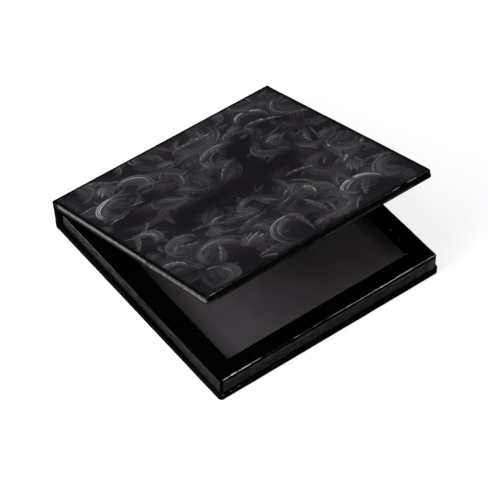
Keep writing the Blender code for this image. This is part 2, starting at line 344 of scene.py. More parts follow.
def frond(canvas, place, start, radius, hand, bright, draw):
    """A scroll: a winding plume with lobed leaves along its outside."""
    sweep = draw.uniform(3.8, 6.4)
    curl = draw.uniform(0.14, 0.26)
    strands = int(draw.integers(5, 10))
    for theta in np.linspace(sweep * 0.6, 0.15, SCROLL_LEAVES):
        middle = (radius + strands * STRAND * 0.35) * math.exp(-curl * theta)
        angle = start + hand * theta
        base = (place[0] + middle * math.cos(angle), place[1] + middle * math.sin(angle))
        heading = angle - hand * draw.uniform(0.7, 1.2)
        length = radius * draw.uniform(0.45, 0.75) * math.exp(-0.15 * theta)
        bend = hand * draw.uniform(0.2, 0.45)
        leaf(canvas, base, heading, length, radius * 0.26, bend, bright * draw.uniform(0.45, 1.0), 4)
    plume(canvas, place, start, sweep, radius, curl, strands, hand, bright, draw)


def bare_distance(x, y):
    """How far a point lies outside the bare place in the lid's middle."""
    return np.maximum(np.abs(x) - BARE_HALF[0], np.abs(y + BARE_MIDDLE) - BARE_HALF[1])


def ornament(xs, ys):
    """The print's strokes, the first ones lowest, and the smoke that spreads round them."""
    draw = np.random.default_rng(5)
    canvas = Canvas(xs, ys)

    def scatter(count, gap, margin):
        """Places at least a gap apart and a margin away from the bare place."""
        kept = []
        for _ in range(5000):
            point = (draw.uniform(xs[0], xs[-1]), draw.uniform(ys[0], ys[-1]))
            if bare_distance(*point) < margin or any(math.dist(point, other) < gap for other in kept):
                continue
            kept.append(point)
            if len(kept) == count:
                break
        return kept

    def turn():
        return draw.uniform(0, 2 * math.pi)

    def hand():
        return draw.choice([-1, 1])

    for point in scatter(66, 7.5, 1.0):  # dim plumes
        start, sweep, radius = turn(), draw.uniform(1.8, 3.4), draw.uniform(9, 19)
        strands = int(draw.integers(6, 13))
        plume(canvas, point, start, sweep, radius, 0.1, strands, hand(), draw.uniform(0.22, 0.50), draw)
    for point in scatter(34, 12.0, 4.0):  # scrolls
        frond(canvas, point, turn(), draw.uniform(6.5, 12.5), hand(), draw.uniform(0.6, 1.15), draw)
    for point in scatter(15, 16.0, 5.0):  # fans
        palmette(canvas, point, turn(), draw.uniform(6.0, 9.5), draw.uniform(0.9, 1.6))
    for point in scatter(30, 11.0, 2.0):  # loose lobed leaves
        heading, length, width = turn(), draw.uniform(7, 15), draw.uniform(2.2, 3.8)
        bend, bright = draw.uniform(-0.7, 0.7), draw.uniform(0.7, 1.5)
        leaf(canvas, point, heading, length, width, bend, bright, int(draw.integers(4, 7)))
    for point in scatter(30, 9.0, 1.0):  # bright blades
        heading, length, width = turn(), draw.uniform(4, 11), draw.uniform(0.7, 1.3)
        leaf(canvas, point, heading, length, width, draw.uniform(-0.9, 0.9), draw.uniform(1.1, 2.1))
    canvas.tone *= smooth(bare_distance(canvas.x, canvas.y), -5.0, 1.5)
    return canvas, spread(np.clip(canvas.tone * 2.4, 0, 1), 13)


def spread(field, reach):
    """The field blurred over this many points each way."""
    for axis in (0, 1, 0, 1):
        field = sum(np.roll(field, shift, axis) for shift in range(-reach, reach + 1)) / (2 * reach + 1)
    return field


# ---- covers

def cover_stations():
    """Places round a cover as (stretch, share): down the left side, round the front, up the right side."""
    side, corner = np.linspace(0, 1, SIDE_POINTS), np.linspace(0, 1, 12)[1:-1]
    shares = (side, corner, side, corner, side)
    return np.array([(stretch, t) for stretch, share in enumerate(shares) for t in share])


def cover_plan(stations, inset, front, back):
    """x and y at each station for an outline this far inside the cover's edge."""
    stretch, share = stations.T
    half, near = HALF_WIDTH - inset, front + inset
    radius = np.maximum(CORNER_RADIUS - inset, 0)
    sine, cosine = np.sin(share * math.pi / 2), np.cos(share * math.pi / 2)
    here = [stretch == i for i in range(4)]
    x = [-half, -half + radius * (1 - cosine), -half + radius + 2 * (half - radius) * share,
         half - radius * (1 - sine)]
    y = [back + (near + radius - back) * share, near + radius * (1 - sine), near,
         near + radius * (1 - cosine)]
    return np.select(here, x, half), np.select(here, y, near + radius + (back - near - radius) * share)


# Rows of a cover's paper
LIP_INSETS = (3.6 * MM, 2.4 * MM, 1.4 * MM, 0.9 * MM)
INNER_BEND_ROWS = 6
WALL_ROWS = 7
OUTER_BEND_ROWS = 8
INNER_BEND = 0.28 * MM
SINK = 0.03 * MM  # how far the paper dips between its supports
GROOVE_PLACE = 0.52  # share of the wall where the paper is pressed in
GROOVE_WIDTH = 0.10


def end_flap(name, edge, corner, beyond, place):
    """Outer paper turned in over a board's end, down to a corner by the hinge."""
    edge, corner, beyond = np.array(edge), np.array(corner), np.array(beyond)
    inward = (corner - edge) * (1 - np.abs(beyond))
    inward /= np.linalg.norm(inward, axis=1, keepdims=True)
    stations = []
    for turn in np.linspace(0, math.pi / 2, 5):
        stations.append(edge + FLAP_RADIUS * ((1 - math.cos(turn)) * inward + math.sin(turn) * beyond))
    stations.append(np.broadcast_to(corner, edge.shape))
    points = np.stack(stations, 1)
    shifted = points[..., 0] + math.copysign(TURN_IN, corner[0])
    uv = np.stack([shifted, points[..., 1] + points[..., 2]], 2)
    return link(name, grid_mesh(name, place(points), uv, (8, 4, beyond)))


def cover_rows(near_corner, seed, bend, corner_bend, groove, dip, face_insets):
    """Rows of a cover's paper as (inset, depth, unfolded inset): lip, inner bend, wall, outer bend, face.
    bend is the outer bend's radius, which grows by corner_bend near its corners."""
    count = len(near_corner)
    radius = bend * (0.92 + 0.12 * smooth_noise(count, 46, seed)) + corner_bend * near_corner
    sink = SINK * (1 + smooth_noise(count, 60, seed + 1)) * (1 - near_corner)
    inner = INNER_BEND * (1 + 0.25 * smooth_noise(count, 50, seed + 2))
    lip_depth = COVER_THICKNESS - LIP_STEP
    rows = []

    def add(inset, depth, unfolded):
        ones = np.ones(count)
        rows.append((inset * ones, depth * ones, unfolded * ones))

    for inset in LIP_INSETS:
        add(inset, lip_depth, -(COVER_THICKNESS + inset))
    for share in np.linspace(0, 1, INNER_BEND_ROWS):
        turn = share * math.pi / 2
        add(sink + inner * (1 - math.sin(turn)), lip_depth - inner * (1 - math.cos(turn)),
            -COVER_THICKNESS + 0.6 * MM * share)
    for share in np.linspace(0, 1, WALL_ROWS + 2)[1:-1]:
        depth = (lip_depth - inner) * (1 - share) + radius * share
        crease = groove * math.exp(-((share - GROOVE_PLACE) / GROOVE_WIDTH) ** 2)
        add(sink + crease, depth, -depth)
    for share in np.linspace(0, 1, OUTER_BEND_ROWS):
        turn = share * math.pi / 2
        add(sink * math.cos(turn) + radius * (1 - math.cos(turn)), dip + radius * (1 - math.sin(turn)),
            radius * share - 0.3 * MM * (1 - share))
    for inset in face_insets:
        add(inset, 0.0, inset)
    return rows


def cover_shell(name, front, place, outward, seed, bends, groove, dip, painted_marks, face_insets):
    """Outer paper of a cover, as one sheet round the board's edges.
    bends are the outer bend's radius, what its corners add to that, and how far the corners reach."""
    stations = cover_stations()
    bend, corner_bend, reach = bends
    x0, y0 = cover_plan(stations, np.zeros(len(stations)), front, -BACK_INSET)
    near_corner = np.exp(-((np.abs(x0) - HALF_WIDTH) / reach) ** 2 - ((y0 - front) / reach) ** 2)
    rows = cover_rows(near_corner, seed, bend, corner_bend, groove, dip, face_insets)
    points, uv = [], []
    for i, (inset, depth, unfolded) in enumerate(rows):
        back = -BACK_INSET - FLAP_START if i < FLAP_ROWS else -BAND_START
        points.append(np.stack([*cover_plan(stations, inset, front, back), depth], 1))
        uv.append(np.stack(cover_plan(stations, unfolded, front, back), 1))
    drawn = np.array(points)
    stretch = stations[:, 0]
    runs = {
        "left": np.where(stretch <= 1, y0 - front, -1.0),
        "front": np.where((stretch >= 1) & (stretch <= 3), x0 + HALF_WIDTH, -1.0),
        "right": np.where(stretch >= 3, y0 - front, -1.0),
    }
    # Painted highlights and painted reflections along the cover's edges and walls, pale where the glossy
    # paper would catch light.
    shine = painted_highlights(len(rows), runs, painted_marks, seed)
    shell = link(name, grid_mesh(name, place(drawn), np.array(uv), (24, 40, outward), shine=shine))
    for side, station in ((-1, 0), (1, -1)):
        edge = drawn[:FLAP_ROWS, station]
        low = (side * (HALF_WIDTH - BAND_SIDE_GAP), edge[0, 1], BAND_THICKNESS)
        corner = (side * (HALF_WIDTH - LIP_END), edge[0, 1] + FLAP_RADIUS, BAND_THICKNESS)
        join_pieces(shell, end_flap(name + "_flap", np.vstack([edge, low]), corner, (0, 1, 0), place))
    return shell


def printed_face(name, place, outward):
    """The lid's outer face inside its rim, as a fine grid that carries the print."""
    stations = cover_stations()
    x, y = cover_plan(stations, np.full(len(stations), RIM), LID_FRONT, -BAND_START)
    xs, ys = x[stations[:, 0] == 2], y[stations[:, 0] == 4]
    canvas, smoke = ornament(xs / MM, ys / MM)
    points = flat_grid(xs, ys)
    mesh = grid_mesh(name, place(points), points[..., :2], (5, 5, outward))
    store_fields(mesh, "paint", canvas.tone, smoke)
    store_fields(mesh, "brush", canvas.across, canvas.along, canvas.lines)
    return link(name, mesh)


def store_fields(mesh, name, *fields):
    """Up to three numbers for each point, under one name."""
    layer = mesh.attributes.new(name, "FLOAT_VECTOR", "POINT")
    values = np.zeros((fields[0].size, 3), np.float32)
    for column, field in enumerate(fields):
        values[:, column] = field.ravel()
    layer.data.foreach_set("vector", values.ravel())


def join_pieces(piece, other):
    """Takes the other piece's mesh into the first one."""
    with bpy.context.temp_override(active_object=piece, selected_editable_objects=[piece, other]):
        bpy.ops.object.join()
    return piece


def lining_strip(name, path, place, outward):
    """Inner paper, bent along X over a path of (y, depth) points."""
    across = np.linspace(TURN_IN - HALF_WIDTH, HALF_WIDTH - TURN_IN, 24)
    points = np.array([[(x, y, z) for x in across] for y, z in path])
    uv = np.array([[(x, run) for x in across] for run in run_along(path)])
    mesh = grid_mesh(name, place(points), uv, (1, 3, outward))
    return finish_mesh(link(name, mesh), LIP_STEP)


def rounded_path(corners, radius):
    """Points through corners, with each inner corner rounded."""
    corners = [np.array(c, float) for c in corners]
    points = [corners[0]]
    for before, corner, after in zip(corners, corners[1:], corners[2:]):
        a = (before - corner) / np.linalg.norm(before - corner)
        b = (after - corner) / np.linalg.norm(after - corner)
        for t in np.linspace(0, 1, 6):
            points.append(corner + a * radius * (1 - t) ** 2 + b * radius * t ** 2)
    points.append(corners[-1])
    return points


def cover_lining(name, front, place, outward):
    """Inner paper of a cover, over its turned-in wrap and down over the board's back edge."""
    near = front + TURN_IN
    edge = -BACK_INSET
    path = [(near + (edge - near) * t, COVER_THICKNESS) for t in np.linspace(0, 0.99, 30)]
    bend = [path.pop(), (edge, COVER_THICKNESS), (edge, BAND_THICKNESS)]
    path += rounded_path(bend, LINING_BEND)[1:]
    return lining_strip(name, path, place, outward)


def fold_path(opened):
    """The hinge paper's outer face as points and normals of (y, depth). The cover lies as drawn, and the
    spine leans away by the angle opened. The bend goes from the second point to the last but one."""
    pivot = np.array(LOW_FOLD)
    cover_out = np.array([0.0, -1.0])
    spine_out = np.array([math.cos(opened), -math.sin(opened)])
    spine_up = np.array([math.sin(opened), math.cos(opened)])
    shift = (FOLD_RADIUS - FOLD_INSET) / (1 + cover_out @ spine_out)
    centre = pivot - shift * (cover_out + spine_out)
    turn = math.acos(cover_out @ spine_out)
    path, normals = [np.array([-BAND_START, 0.0])], [cover_out]
    for share in np.linspace(0, 1, FOLD_STEPS + 1):
        a = turn * share
        normal = (cover_out * math.sin(turn - a) + spine_out * math.sin(a)) / math.sin(turn)
        path.append(centre + FOLD_RADIUS * normal)
        normals.append(normal)
    path.append(pivot + FOLD_INSET * spine_out + (COVER_THICKNESS + SEAM - FOLD_INSET) * spine_up)
    normals.append(spine_out)
    return path, normals


def band_section():
    """Places round the hinge paper as (x, depth): outer face, rounded side, inner face, rounded side."""
    edge = BAND_THICKNESS / 2
    straight = HALF_WIDTH - BAND_SIDE_GAP - edge
    angles = np.linspace(0, math.pi, 7)[1:-1]
    around = [(x, 0.0) for x in np.linspace(-straight, straight, 30)]
    around += [(straight + edge * math.sin(a), edge - edge * math.cos(a)) for a in angles]
    around += [(x, BAND_THICKNESS) for x in np.linspace(straight, -straight, 30)]
    around += [(-straight - edge * math.sin(a), edge + edge * math.cos(a)) for a in angles]
    return around


def hinge_band(name, opened, place, outward):
    """Outer and inner paper glued together, from the cover's board round the fold to the spine's."""
    path, normals = fold_path(opened)
    around = band_section()
    face = zip(path, normals)
    points = [[(x, *(point - normal * depth)) for x, depth in around] for point, normal in face]
    uv = [[(x, run) for x, depth in around] for run in run_along(path)]
    mesh = grid_mesh(name, place(np.array(points)), np.array(uv), (8, 10, outward), True)
    ends = [place(np.array((0.0, *point))) for point in (path[1], path[-2])]
    return finish_mesh(link(name, mesh)), ends


def spine_shell(name):
    """Outer paper of the spine, turned in round the ends of its board."""
    half, deep, inset = HALF_WIDTH, SPINE_THICKNESS, 0.5 * MM
    lip = -half + LIP_END
    quarter = [math.radians(a) for a in (0, 18, 36, 54, 72, 90)]
    left = [(lip, -deep + LIP_STEP), (lip - 1.5 * MM, -deep + LIP_STEP)]
    for a in quarter:
        left.append((-half + inset * (1 - math.sin(a)), -deep + LIP_STEP + inset * (1 - math.cos(a))))
    left += [(-half, -deep * share) for share in (0.7, 0.5, 0.3)]
    left += [(-half + inset * (1 - math.cos(a)), -inset * (1 - math.sin(a))) for a in quarter]
    face = [(x, 0.0) for x in np.linspace(-half + 2 * MM, half - 2 * MM, 40)]
    section = left + face + [(-x, y) for x, y in reversed(left)]
    low, high = COVER_THICKNESS + SEAM, CLOSED_HEIGHT - COVER_THICKNESS - SEAM
    heights = np.linspace(low, high, 12)
    points = np.array([[(x, y, z) for x, y in section] for z in heights])
    turned_in = points[0, :, 1] < inset * -0.99
    ends = turned_in.sum() // 2
    points[0, turned_in, 2] = low + FLAP_START
    points[-1, turned_in, 2] = high - FLAP_START
    uv = np.array([[(run, z) for run in run_along(section)] for z in heights])
    # Painted sheen over the spine's face, with painted highlights near its top and foot, in place of
    # reflections of its gloss.
    x = points[..., 0] / MM
    rise = np.linspace(0, 1, len(heights))[:, None]
    middle = np.clip((half / MM - 2.5 - np.abs(x)) / 3, 0, 1) * (points[..., 1] > -0.1 * MM)
    top_highlight = np.clip((rise - 0.86) / 0.1, 0, 1)
    foot_highlight = np.clip((0.12 - rise) / 0.1, 0, 1)
    shine = middle * (0.022 + 0.05 * top_highlight + 0.03 * foot_highlight)
    shell = link(name, grid_mesh(name, on_spine(points), uv, (5, len(left) + 20, (0, 1, 0)), shine=shine))
    for row, beyond in ((0, -1), (-1, 1)):
        for side, edge in ((-1, points[row, :ends]), (1, points[row, :-ends - 1:-1])):
            corner = (side * (half - LIP_END), -inset, edge[0, 2] + beyond * FLAP_RADIUS)
            join_pieces(shell, end_flap(name + "_flap", edge, corner, (0, 0, beyond), on_spine))
    return finish_mesh(shell, PAPER)


def spine_lining(name):
    """Inner paper of the spine, from one hinge paper to the other."""
    low, high = COVER_THICKNESS + SEAM, CLOSED_HEIGHT - COVER_THICKNESS - SEAM
    near, face = -BAND_THICKNESS, -SPINE_THICKNESS
    path = rounded_path([(near, low), (face, low), (face, high), (near, high)], 0.35 * MM)
    return lining_strip(name, path, on_spine, (0, -0.3, -1))


# ---- tray

def ring_stations():
    """Places round a rectangle: (side, 1 in the corner after it, share)."""
    shares = (np.linspace(0, 1, SIDE_POINTS), np.linspace(0, 1, 8)[1:-1])
    return np.array([(i, bend, t) for i in range(4) for bend, share in enumerate(shares) for t in share])


def ring_plan(stations, box, radius, inset):
    """x and y at each station of a rounded rectangle, from its front left corner anticlockwise."""
    left, right, front, back = box
    left, right, front, back = left + inset, right - inset, front + inset, back - inset
    radius = np.maximum(radius - inset, 0.02 * MM)
    corners = np.array([(left, front), (right, front), (right, back), (left, back)])
    headings = np.array([(1, 0), (0, 1), (-1, 0), (0, -1)])[..., None]
    stretch, turning, share = stations.T
    ahead, aside = radius * np.sin(share * math.pi / 2), radius * (1 - np.cos(share * math.pi / 2))
    places = []
    for i in range(4):
        heading, following = headings[i], headings[(i + 1) % 4]
        start, end = corners[i] + heading * radius, corners[(i + 1) % 4] - heading * radius
        bend = end + heading * ahead + following * aside
        places.append(np.where(turning == 1, bend, start + (end - start) * share))
    return np.select([stretch == i for i in range(4)], places)


def tray_rows(stations, outer, well):
    """Rows of the tray's paper as (points, run), from its foot over the top and down into the well."""
    count = len(stations)
    top = TRAY_HIGH.z
    foot = COVER_THICKNESS - 0.1 * MM
    edge = TRAY_BEND * (1 + 0.22 * smooth_noise(count, 90, 31) + 0.12 * smooth_noise(count, 300, 32))
    lip = WELL_BEND * (1 + 0.25 * smooth_noise(count, 80, 33))
    sag = SINK * (1 + smooth_noise(count, 120, 34))
    rail = 8 * MM  # what a rail's top adds to the run
    turns = [(t, math.sin(t * math.pi / 2), math.cos(t * math.pi / 2)) for t in np.linspace(0, 1, 8)]
    rows = []

    def add(box, corner, inset, z, run):
        x, y = ring_plan(stations, box, corner, inset * np.ones(count))
        rows.append((np.stack([x, y, z * np.ones(count)], 1), run))

    for z in np.linspace(foot, top - 1.7 * MM, 6):
        add(outer, TRAY_CORNER, 0.0, z, z)
    for share, sine, cosine in turns:
        inset = sag * sine + edge * (1 - cosine)
        add(outer, TRAY_CORNER, inset, top - sag * sine - edge * (1 - sine), top + edge[0] * share)
    for inset in (1.2 * MM, 2.6 * MM):
        add(outer, TRAY_CORNER, inset, top, top + inset)
    for inset in (-2.2 * MM, -1.0 * MM):
        add(well, WELL_CORNER, inset, top, top + rail + inset)
    for share, sine, cosine in turns:
        add(well, WELL_CORNER, -lip * (1 - sine), top - lip * (1 - cosine), top + rail + lip[0] * share)
    start = top - 0.6 * MM
    for share in (0.25, 0.5, 0.75, 1.0):
        z = start + (FLOOR_LOW.z - start) * share
        add(well, WELL_CORNER, 0.0, z, 2 * top + rail - z)
    return rows


def tray_shell(name):
    """Paper of the tray: outer walls, top and well walls."""
    stations = ring_stations()
    count = len(stations)
    outer = (TRAY_LOW.x, TRAY_HIGH.x, TRAY_LOW.y, TRAY_HIGH.y)
    well = (FLOOR_LOW.x - SEAM, FLOOR_HIGH.x + SEAM, FLOOR_LOW.y - SEAM, FLOOR_HIGH.y + SEAM)
    rows = tray_rows(stations, outer, well)
    points = np.array([row for row, run in rows])
    around = np.cumsum(np.linalg.norm(np.roll(points[0], -1, 0) - points[0], axis=1))
    uv = np.array([np.stack([around, np.full(count, run)], 1) for row, run in rows])
    x0, y0 = ring_plan(stations, outer, TRAY_CORNER, np.zeros(count))
    side = stations[:, 0]
    runs = {
        "front": np.where(side == 0, x0 - TRAY_LOW.x, -1.0),
        "right": np.where(side == 1, y0 - TRAY_LOW.y, -1.0),
        "left": np.where(side == 3, y0 - TRAY_LOW.y, -1.0),
    }
    # Painted highlights and painted reflections along the tray's edges and walls, and painted glints on
    # the well's rim.
    shine = painted_highlights(len(rows), runs, TRAY_PAINTED_HIGHLIGHTS, 301)
    mesh = grid_mesh(name, points, uv, (2, 50, (0, -1, 0)), True, shine)
    return finish_mesh(link(name, mesh), PAPER)


def well_paper(name):
    """Paper over the magnetic sheet, from wall to wall."""
    low, high = FLOOR_LOW - Vector((SEAM, SEAM, 0)), FLOOR_HIGH + Vector((SEAM, SEAM, 0))
    points = flat_grid(np.linspace(low.x, high.x, 40), np.linspace(low.y, high.y, 40), high.z)
    mesh = grid_mesh(name, points, points[..., :2], (5, 5, (0, 0, 1)))
    return finish_mesh(link(name, mesh), high.z - low.z)


# ---- materials

def feed(node, inputs):
    """Links or sets a node's inputs. Each is a signal, another node's socket or a plain value."""
    for key, value in inputs.items():
        value = value.socket if isinstance(value, Signal) else value
        if isinstance(value, bpy.types.NodeSocket):
            node.id_data.links.new(value, node.inputs[key])
        else:
            node.inputs[key].default_value = value
    return node


class Signal:
    """A number that a material's nodes give, so that a formula reads as one."""

    def __init__(self, socket):
        self.socket = socket
        self.nodes = socket.id_data.nodes

    def op(self, operation, *others):
        node = self.nodes.new("ShaderNodeMath")
        node.operation = operation
        return Signal(feed(node, dict(enumerate((self, *others)))).outputs[0])

    def __add__(self, other):
        return self.op("ADD", other)

    def __sub__(self, other):
        return self.op("SUBTRACT", other)

    def __mul__(self, other):
        return self.op("MULTIPLY", other)

    def ramp(self, low, high, out_low=0.0, out_high=1.0, soft=True):
        node = self.nodes.new("ShaderNodeMapRange")
        node.interpolation_type = "SMOOTHSTEP" if soft else "LINEAR"
        ends = {"From Min": low, "From Max": high, "To Min": out_low, "To Max": out_high}
        feed(node, {"Value": self, **ends})
        return Signal(node.outputs["Result"])


def new_material(name, roughness, specular, colour, metallic=0.0):
    material = bpy.data.materials.new(name)
    material.use_nodes = True
    material.diffuse_color = (*colour, 1)
    shader = material.node_tree.nodes["Principled BSDF"]
    feed(shader, {"Base Color": (*colour, 1), "Roughness": roughness, "Metallic": metallic,
                  "Specular IOR Level": specular})
    return material, material.node_tree.nodes, shader


def scaled(vector, scale):
    """A vector times one number, or times one for each axis."""
    node = vector.id_data.nodes.new("ShaderNodeVectorMath")
    node.operation = "MULTIPLY"
    return feed(node, {0: vector, 1: scale if isinstance(scale, tuple) else (scale,) * 3}).outputs[0]


def sheet_vector(nodes, scale):
    """The piece's own flat coordinates, in cells per metre."""
    source = nodes.new("ShaderNodeUVMap")
    source.uv_map = "sheet"
    return scaled(source.outputs["UV"], scale)


def carried(nodes, name):
    """What the mesh carries at each point under this name."""
    source = nodes.new("ShaderNodeAttribute")
    source.attribute_name = name
    return source.outputs


def noise(vector, detail=3.0, roughness=0.5):
    node = vector.id_data.nodes.new("ShaderNodeTexNoise")
    feed(node, {"Vector": vector, "Scale": 1.0, "Detail": detail, "Roughness": roughness})
    return Signal(node.outputs[0])


def mix_colour(factor, low, high):
    """Goes from the low colour to the high one. Sockets 6, 7 and 2 of the node are its colour ones."""
    node = factor.nodes.new("ShaderNodeMix")
    node.data_type = "RGBA"
    low, high = ((*colour, 1) if isinstance(colour, tuple) else colour for colour in (low, high))
    return feed(node, {0: factor, 6: low, 7: high}).outputs[2]


def bump(height, distance, after=None):
    """Bump of this height in metres, on top of an earlier one."""
    node = height.nodes.new("ShaderNodeBump")
    feed(node, {"Strength": 1.0, "Distance": distance, "Height": height})
    if after is not None:
        feed(node, {"Normal": after})
    return node.outputs[0]


def edge_shine(nodes, colour):
    """Lightens a colour where the mesh carries painted highlights and painted reflections of the
    laminate's gloss.
    """
    highlight_paint = Signal(carried(nodes, "shine")["Fac"])
    mottle = noise(sheet_vector(nodes, (260.0, 700.0, 1.0)), 3, 0.6).ramp(0.3, 0.7, 0.55, 1.45)
    return mix_colour((highlight_paint * mottle).ramp(0, 1, soft=False), colour, (0.9, 0.9, 0.9))


def paper_surface(nodes, shader, colour, cloud, rough, ripple, fibre_height):
    """A paper's colour with its painted highlights, its uneven gloss, and its long ripples and fine fibres
    as bump.
    """
    colour = edge_shine(nodes, colour)
    fibre = noise(sheet_vector(nodes, 2600), 2)
    gloss = (cloud * 0.6 + fibre * 0.4).ramp(0.3, 0.7, *rough)
    waves = bump(noise(sheet_vector(nodes, 110), 1), ripple)
    feed(shader, {"Base Color": colour, "Roughness": gloss, "Normal": bump(fibre, fibre_height, waves)})


def paper_material(name, dark, light, rough, specular, ripple):
    """Dyed, laminated paper, faintly cloudy."""
    material, nodes, shader = new_material(name, rough[0], specular, dark)
    cloud = noise(sheet_vector(nodes, 60), 4)
    colour = mix_colour(cloud.ramp(0.35, 0.7), dark, light)
    paper_surface(nodes, shader, colour, cloud, rough, ripple, 0.004 * MM)
    return material


def split_xyz(vector):
    node = feed(vector.id_data.nodes.new("ShaderNodeSeparateXYZ"), {0: vector})
    return [Signal(output) for output in node.outputs]


def strokes(nodes, flat, tone):
    """The painted tone, broken into the bristles of each stroke."""
    across, along, lines = split_xyz(carried(nodes, "brush")["Vector"])
    sway = noise(scaled(flat, 0.35), 2)
    strand = ((across + (sway - 0.5) * 0.5) * (2 * math.pi)).op("COSINE") * 0.5 + 0.5
    brush = feed(nodes.new("ShaderNodeCombineXYZ"), {0: across * 2.3, 1: along * 0.22})
    bristle = noise(brush.outputs[0], 2, 0.6)
    grain = noise(scaled(flat, 1.6), 3).ramp(0.3, 0.7, 0.85, 1.12)
    gaps = (strand * -1.0 + 1.0).ramp(0.1, 0.9) * lines * -0.80 + 1.0
    return tone * gaps * (bristle.ramp(0.3, 0.7, -0.3, 0.3) * lines + 1.0) * grain


def print_border(flat):
    """1 on the dark border round the print, 0 inside it. y falls from the hinge to the front."""
    x, y, _ = split_xyz(flat)
    aside, depth = x.op("ABSOLUTE"), y * -1.0
    border = aside.ramp(*PRINT_SIDE).op("MAXIMUM", depth.ramp(*PRINT_FRONT))
    return border.op("MAXIMUM", depth.ramp(*PRINT_BACK, 1.0, 0.0))


def printed_material(name):
    """The lid's paper: grey ornaments on near black, with smoke round them, under gloss."""
    material, nodes, shader = new_material(name, 0.2, LID_SPECULAR, (0.02, 0.018, 0.022))
    tone, smoke, _ = split_xyz(carried(nodes, "paint")["Vector"])
    flat = sheet_vector(nodes, 1000.0)
    stroke = strokes(nodes, flat, tone)
    cloud = noise(scaled(flat, 0.12), 4)
    tint = noise(scaled(flat, 0.04), 2)
    bare = mix_colour(tint.ramp(0.35, 0.62), PRINT_GROUND, PRINT_VIOLET)
    haze = (smoke * cloud.ramp(0.25, 0.65, 0.45, 1.15)).ramp(0, 1)
    ground = mix_colour(haze, bare, PRINT_SMOKE)
    middle = mix_colour(stroke.ramp(0.0, 0.55, soft=False), ground, PRINT_MIDDLE)
    colour = mix_colour(stroke.ramp(0.5, 1.1), middle, PRINT_LIGHT)
    colour = mix_colour(print_border(flat), colour, PRINT_BORDER)
    paper_surface(nodes, shader, colour, cloud, (0.16, 0.26), 0.010 * MM, 0.003 * MM)
    return material


def grain_material(name, dark, light, scale, roughness, metallic=0.0, height=0.02 * MM):
    """Plain grained stuff for the hidden boards, magnets and discs."""
    material, nodes, shader = new_material(name, roughness, 0.5, dark, metallic)
    grain = noise(scaled(nodes.new("ShaderNodeTexCoord").outputs["Object"], scale), 5, 0.6)
    colour = mix_colour(grain.ramp(0.3, 0.7), dark, light)
    feed(shader, {"Base Color": colour, "Normal": bump(grain, height)})
    return material


def paint(piece, material):
    piece.data.materials.clear()
    piece.data.materials.append(material)


# ---- stage

FLOOR_GLOW = 0.84  # with the light that falls on the floor, what the camera sees is white
FLOOR_HALF = 6.0
FLOOR_LINES = 9
FLOOR_DROP = 0.02 * MM  # keeps the floor clear of the base's outer face
LAMPS = (  # name, place, size, power
    ("key", (-0.849, 0.0, 0.849), (0.4, 0.75), 9.0),
    ("low", (-1.070, 0.094, 0.535), (0.60, 0.45), 10.5),
    ("side", (0.905, 0.160, 0.771), (0.3, 0.3), 1.6),
    ("high", (-0.460, 0.08, 1.100), (0.35, 0.35), 5.5),
)
CAMERA_ANGLES = (-37.5173, 49.1151, 0.5921)  # azimuth, elevation and roll
CAMERA_PLACE = (-397.6379, -567.91, 756.2618)  # millimetres, in the closed drawing
FOCAL_LENGTH = 2698.2974  # in pixels
IMAGE_WIDTH = 488
SENSOR_WIDTH = 36.0


def floor_material():
    """Grey for the light that it bounces, and white to the camera."""
    material = bpy.data.materials.new("floor_white")
    material.use_nodes = True
    nodes = material.node_tree.nodes
    nodes.clear()
    output = nodes.new("ShaderNodeOutputMaterial")
    path = nodes.new("ShaderNodeLightPath").outputs
    seen = Signal(path["Is Camera Ray"])
    for kind in ("Is Glossy Ray", "Is Transmission Ray"):
        seen = seen.op("MAXIMUM", path[kind])
    colour = mix_colour(seen, (0.75, 0.75, 0.75), (0.21, 0.21, 0.21))
    diffuse = feed(nodes.new("ShaderNodeBsdfDiffuse"), {"Color": colour})
    glow = feed(nodes.new("ShaderNodeEmission"), {"Strength": seen * FLOOR_GLOW})
    total = feed(nodes.new("ShaderNodeAddShader"), {0: diffuse.outputs[0], 1: glow.outputs[0]})
    feed(output, {"Surface": total.outputs[0]})
    return material


def make_floor():
    steps = np.linspace(-FLOOR_HALF, FLOOR_HALF, FLOOR_LINES)
    points = flat_grid(steps, steps)
    floor = link("floor", grid_mesh("floor", points, points[..., :2], (0, 0, (0, 0, 1))))
    floor.location.z = -FLOOR_DROP
    paint(floor, floor_material())


def make_world():
    """A dim room, lighter overhead."""
    world = bpy.data.worlds.new("studio")
    bpy.context.scene.world = world
    world.use_nodes = True
    nodes = world.node_tree.nodes
    height = split_xyz(nodes.new("ShaderNodeTexCoord").outputs["Generated"])[2]
    colour = mix_colour(height.ramp(0.15, 0.75), (0.028, 0.028, 0.030), (0.105, 0.105, 0.105))
    feed(nodes["Background"], {"Color": colour})


def add_lamp(name, place, size, power):
    """A soft rectangle of light that faces the palette."""
    data = bpy.data.lights.new(name, "AREA")
    data.shape = "RECTANGLE"
    data.size, data.size_y = size
    data.energy = power
    lamp = link(name, data)
    lamp.location = place
    lamp.rotation_mode = "QUATERNION"
    lamp.rotation_quaternion = (-Vector(place)).to_track_quat("-Z", "Y")


